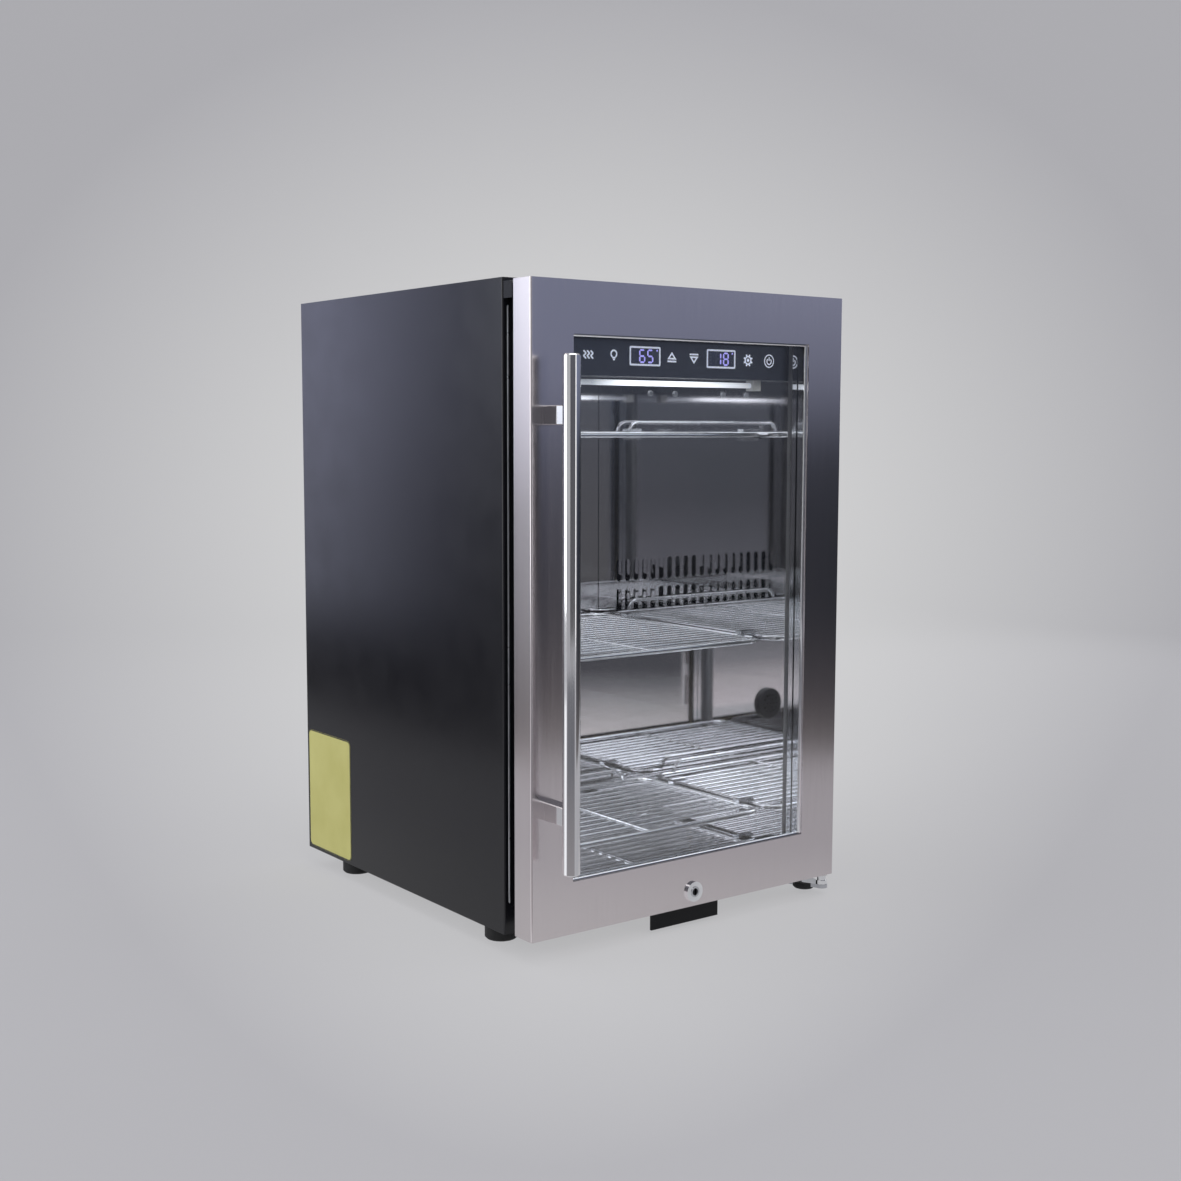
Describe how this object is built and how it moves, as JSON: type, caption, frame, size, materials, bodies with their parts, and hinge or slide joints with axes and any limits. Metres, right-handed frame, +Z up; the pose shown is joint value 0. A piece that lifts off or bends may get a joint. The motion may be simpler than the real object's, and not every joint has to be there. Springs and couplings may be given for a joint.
{
  "type": "towel warmer cabinet",
  "caption": "Upright glass-door towel cabinet with a stepped steel liner, wire shelves, slotted air panel, control strip, bar handle and a cam lock.",
  "frame": {"origin": "centre of the overall footprint, on the floor", "axes": "+X to the right seen from the front, +Y to the back, +Z up; the door faces -Y"},
  "size_m": [0.43, 0.533, 0.694],
  "materials": {
    "charcoal_paint": "semi-gloss charcoal paint",
    "black_paint": "satin black paint",
    "galvanised": "galvanised sheet",
    "foam": "rigid foam",
    "polished_steel": "polished stainless steel",
    "shelf_wire": "bright wire",
    "heater_steel": "oxidised tube",
    "coil_aluminium": "plain aluminium",
    "dark_plastic": "matte black",
    "panel_black": "gloss black",
    "display_dark": "dark window",
    "board_green": "lacquered board",
    "lamp_white": "white tube",
    "white_plastic": "white moulding",
    "black_rubber": "matte rubber",
    "copper": "bare tube",
    "chrome": "bright plated",
    "screw_steel": "zinc plated",
    "door_steel": "vertically brushed stainless steel",
    "clear_glass": "clear float glass",
    "spacer_aluminium": "bright anodised",
    "handle_steel": "fine brushed stainless steel"
  },
  "bodies": {
    "cabinet": {"left_panel": "charcoal_paint", "right_panel": "charcoal_paint", "top_panel": "charcoal_paint", "back_panel": "black_paint", "base_pan": "black_paint", "bay_lining": "galvanised", "insulation": "foam", "inner_liner": "polished_steel", "air_panel": "polished_steel", "air_heater": "heater_steel", "evaporator": "coil_aluminium", "fan_bracket": "galvanised", "fan_motor": "black_paint", "vent_disc": "dark_plastic", "control_fascia": "panel_black", "control_housing": "dark_plastic", "display_modules": "display_dark", "control_board": "board_green", "lamp_tube": "lamp_white", "lamp_sockets": "white_plastic", "shelf_clips": "shelf_wire", "compressor": "black_paint", "compressor_mounts": "black_rubber", "refrigerant_pipes": "copper", "relay_box": "dark_plastic", "bay_cover": "black_paint", "cord_gland": "black_rubber", "feet": "black_rubber", "base_screws": "screw_steel", "panel_screws": "screw_steel", "lower_hinge_plate": "chrome", "lower_hinge_pin": "chrome", "hinge_foot": "black_rubber", "upper_hinge_bracket": "black_paint", "upper_hinge_pin": "chrome", "hinge_blank_cap": "dark_plastic", "hinge_screws": "screw_steel", "lock_keeper": "black_paint"},
    "door": {"door_skin": "door_steel", "door_core": "foam", "outer_glass": "clear_glass", "inner_glass": "clear_glass", "glass_spacer": "spacer_aluminium", "door_liner": "spacer_aluminium", "door_gasket": "black_rubber", "handle_bar": "handle_steel", "handle_posts": "handle_steel", "handle_screws": "screw_steel", "hinge_bushes": "white_plastic", "lock_body": "chrome"},
    "lock_core": {"lock_plug": "chrome", "lock_cam": "screw_steel", "cam_screw": "screw_steel"},
    "fan": {"fan_rotor": "dark_plastic"},
    "upper_rack": {"upper_shelf": "shelf_wire", "upper_shelf_stop": "shelf_wire"},
    "middle_rack": {"middle_shelf": "shelf_wire", "middle_shelf_stop": "shelf_wire"},
    "lower_rack": {"lower_shelf": "shelf_wire", "lower_shelf_stop": "shelf_wire"}
  },
  "joints": [
    {"name": "door_hinge", "type": "hinge", "parent": "cabinet", "child": "door", "pos_m": [0.205, -0.2145, 0.358], "axis": [0, 0, 1], "range_deg": [0, 110]},
    {"name": "lock_turn", "type": "hinge", "parent": "door", "child": "lock_core", "pos_m": [0, -0.2225, 0.0415], "axis": [0, 1, 0], "range_deg": [0, 90]},
    {"name": "upper_shelf_slide", "type": "slide", "parent": "cabinet", "child": "upper_rack", "axis": [0, -1, 0], "range_m": [0, 0.032]},
    {"name": "middle_shelf_slide", "type": "slide", "parent": "cabinet", "child": "middle_rack", "axis": [0, -1, 0], "range_m": [0, 0.032]},
    {"name": "lower_shelf_slide", "type": "slide", "parent": "cabinet", "child": "lower_rack", "axis": [0, -1, 0], "range_m": [0, 0.032]},
    {"name": "fan_spin", "type": "hinge", "parent": "cabinet", "child": "fan", "pos_m": [0, 0.204, 0.333], "axis": [0, 1, 0], "continuous": true}
  ]
}
